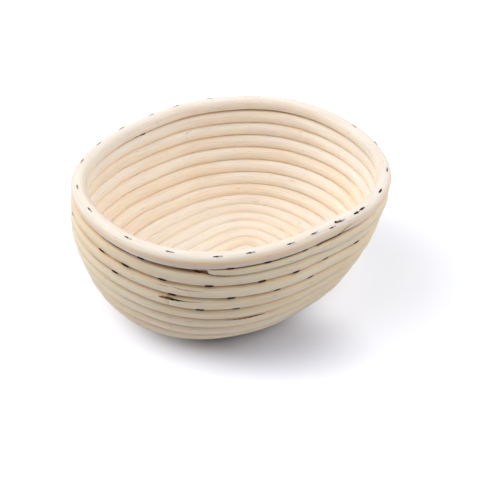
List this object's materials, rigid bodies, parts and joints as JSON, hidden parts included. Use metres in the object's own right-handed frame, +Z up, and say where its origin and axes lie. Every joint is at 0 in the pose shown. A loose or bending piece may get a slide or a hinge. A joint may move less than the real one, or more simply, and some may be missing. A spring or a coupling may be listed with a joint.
{
  "type": "oval proofing basket",
  "caption": "Oval proofing basket wound in rising turns from peeled rattan cane, with a separate rim cane and wire staples, for shaping bread dough.",
  "frame": {"origin": "under the centre of the oval rim, on the plane that the base stands on", "axes": "+X along the oval, towards the end on the right of the front, +Y across it towards the back, +Z up. The front is the side where each turn drops to the next and where the rim cane's scarf is"},
  "size_m": [0.2066, 0.1738, 0.0847],
  "materials": {
    "peeled_rattan": "matte, peeled and unvarnished",
    "galvanised_wire": "dull galvanised wire"
  },
  "bodies": {
    "root": {"body_cane_lower": "peeled_rattan", "body_cane_upper": "peeled_rattan", "rim_cane": "peeled_rattan", "rim_staple_01": "galvanised_wire", "rim_staple_02": "galvanised_wire", "rim_staple_03": "galvanised_wire", "rim_staple_04": "galvanised_wire", "rim_staple_05": "galvanised_wire", "rim_staple_06": "galvanised_wire", "rim_staple_07": "galvanised_wire", "rim_staple_08": "galvanised_wire", "rim_staple_09": "galvanised_wire", "rim_staple_10": "galvanised_wire", "rim_staple_11": "galvanised_wire", "rim_staple_12": "galvanised_wire", "rim_staple_13": "galvanised_wire", "rim_staple_14": "galvanised_wire", "rim_staple_15": "galvanised_wire", "rim_staple_16": "galvanised_wire", "rim_staple_17": "galvanised_wire", "rim_staple_18": "galvanised_wire", "rim_staple_19": "galvanised_wire", "rim_staple_20": "galvanised_wire", "rim_staple_21": "galvanised_wire", "rim_staple_22": "galvanised_wire", "rim_staple_23": "galvanised_wire", "rim_staple_24": "galvanised_wire", "seam_staple_01": "galvanised_wire", "seam_staple_02": "galvanised_wire", "seam_staple_03": "galvanised_wire", "seam_staple_04": "galvanised_wire", "seam_staple_05": "galvanised_wire", "seam_staple_06": "galvanised_wire", "seam_staple_07": "galvanised_wire", "seam_staple_08": "galvanised_wire", "seam_staple_09": "galvanised_wire", "seam_staple_10": "galvanised_wire", "seam_staple_11": "galvanised_wire", "seam_staple_12": "galvanised_wire", "seam_staple_13": "galvanised_wire", "seam_staple_14": "galvanised_wire", "seam_staple_15": "galvanised_wire", "seam_staple_16": "galvanised_wire", "seam_staple_17": "galvanised_wire", "seam_staple_18": "galvanised_wire", "seam_staple_19": "galvanised_wire", "seam_staple_20": "galvanised_wire", "seam_staple_21": "galvanised_wire", "seam_staple_22": "galvanised_wire", "seam_staple_23": "galvanised_wire", "seam_staple_24": "galvanised_wire", "seam_staple_25": "galvanised_wire", "seam_staple_26": "galvanised_wire", "seam_staple_27": "galvanised_wire", "seam_staple_28": "galvanised_wire", "seam_staple_29": "galvanised_wire", "seam_staple_30": "galvanised_wire", "seam_staple_31": "galvanised_wire", "seam_staple_32": "galvanised_wire"}
  },
  "joints": []
}
